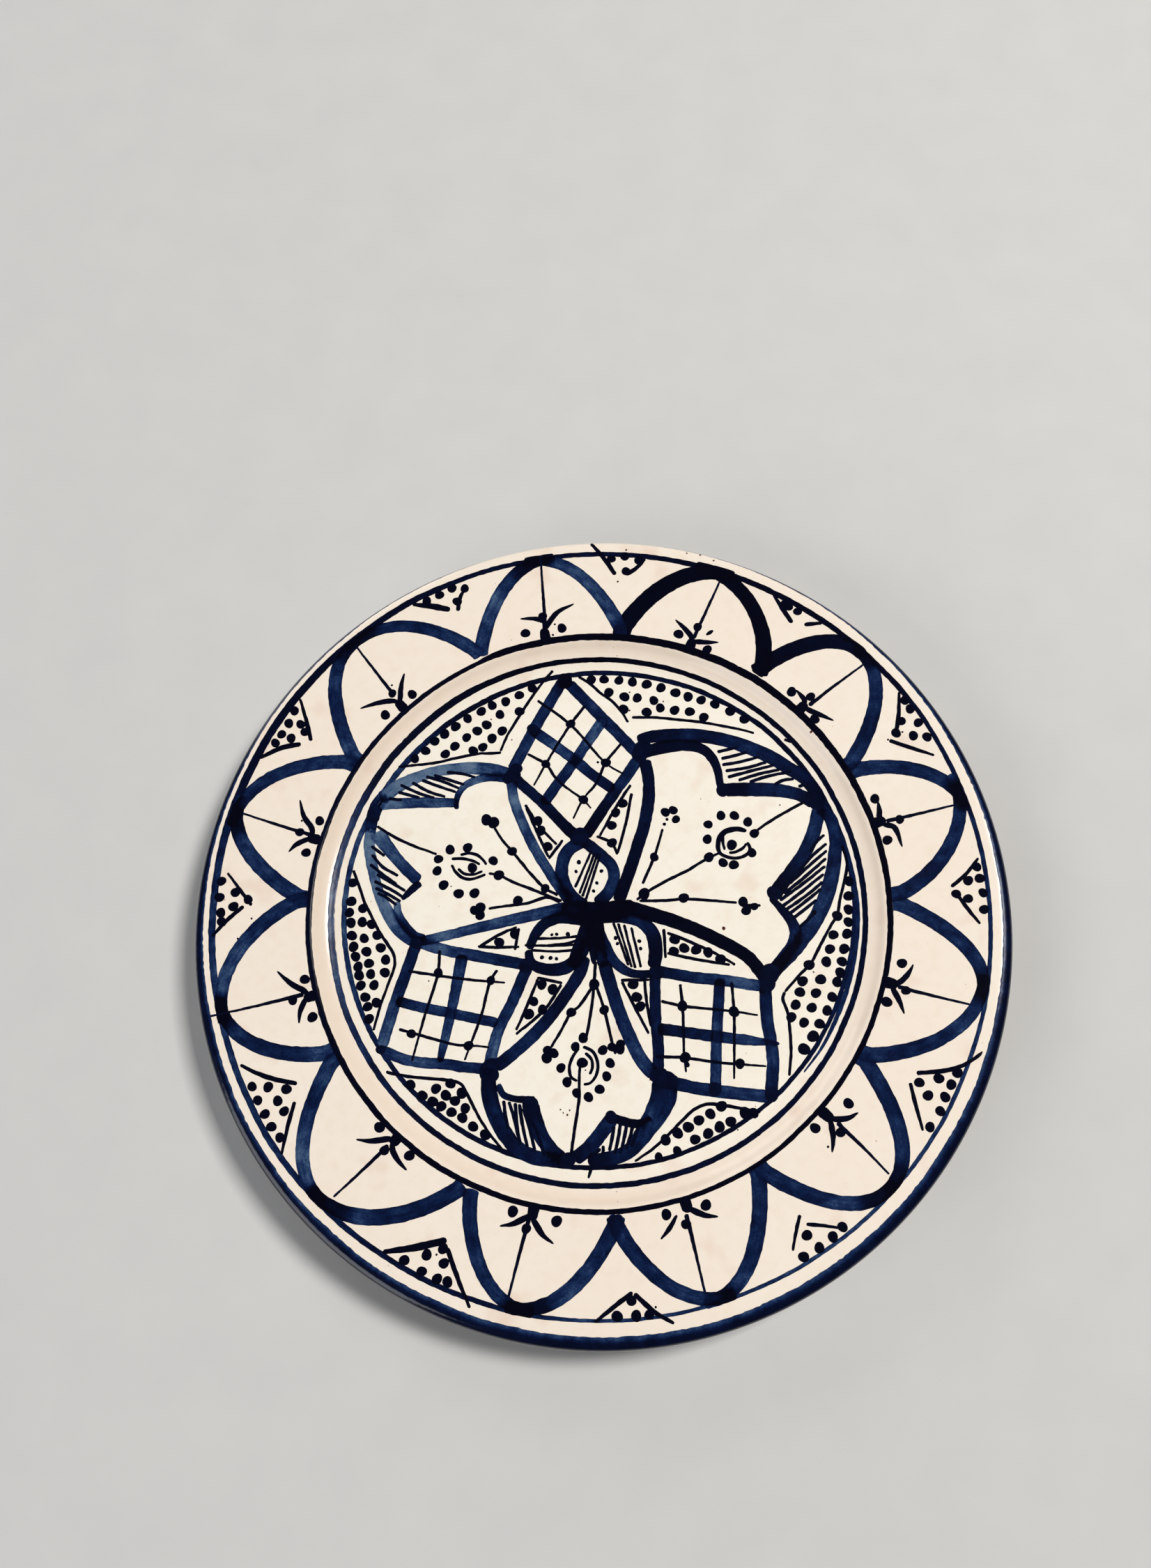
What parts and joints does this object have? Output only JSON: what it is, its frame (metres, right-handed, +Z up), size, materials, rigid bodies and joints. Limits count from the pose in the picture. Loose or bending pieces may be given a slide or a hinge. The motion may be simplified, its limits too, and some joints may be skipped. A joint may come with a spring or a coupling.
{
  "type": "decorative plate",
  "caption": "Round glazed ceramic plate with a shallow well, a wide rim and a foot ring, hand painted in cobalt blue with petals, chequered panels, tulips and dots.",
  "frame": {"origin": "centre of the plate on the plane that its foot ring stands on", "axes": "+Z up out of the well along the plate's axis, +Y towards the top of the painted design"},
  "size_m": [0.2994, 0.3, 0.0231],
  "materials": {
    "clay": "bare fired clay",
    "glaze": "glossy",
    "cobalt_paint": "glossy, watery blue brush strokes",
    "black_paint": "glossy, near black brush lines"
  },
  "bodies": {
    "root": {"clay_body": "clay", "foot_ring": "clay", "face_glaze": "glaze", "back_glaze": "glaze", "base_glaze": "glaze", "lip_band": "cobalt_paint", "rim_line": "cobalt_paint", "shoulder_line": "black_paint", "well_line_outer": "black_paint", "well_line_inner": "cobalt_paint", "rim_petal_01": "cobalt_paint", "rim_petal_02": "cobalt_paint", "rim_petal_03": "cobalt_paint", "rim_petal_04": "cobalt_paint", "rim_petal_05": "cobalt_paint", "rim_petal_06": "cobalt_paint", "rim_petal_07": "cobalt_paint", "rim_petal_08": "cobalt_paint", "rim_petal_09": "cobalt_paint", "rim_petal_10": "cobalt_paint", "rim_petal_11": "cobalt_paint", "rim_petal_12": "cobalt_paint", "check_panel_a": "cobalt_paint", "check_panel_b": "cobalt_paint", "check_panel_c": "cobalt_paint", "bud_a": "cobalt_paint", "bud_b": "cobalt_paint", "bud_c": "cobalt_paint", "centre_knot": "black_paint", "tulip_a": "cobalt_paint", "tulip_b": "cobalt_paint", "tulip_c": "cobalt_paint"}
  },
  "joints": []
}
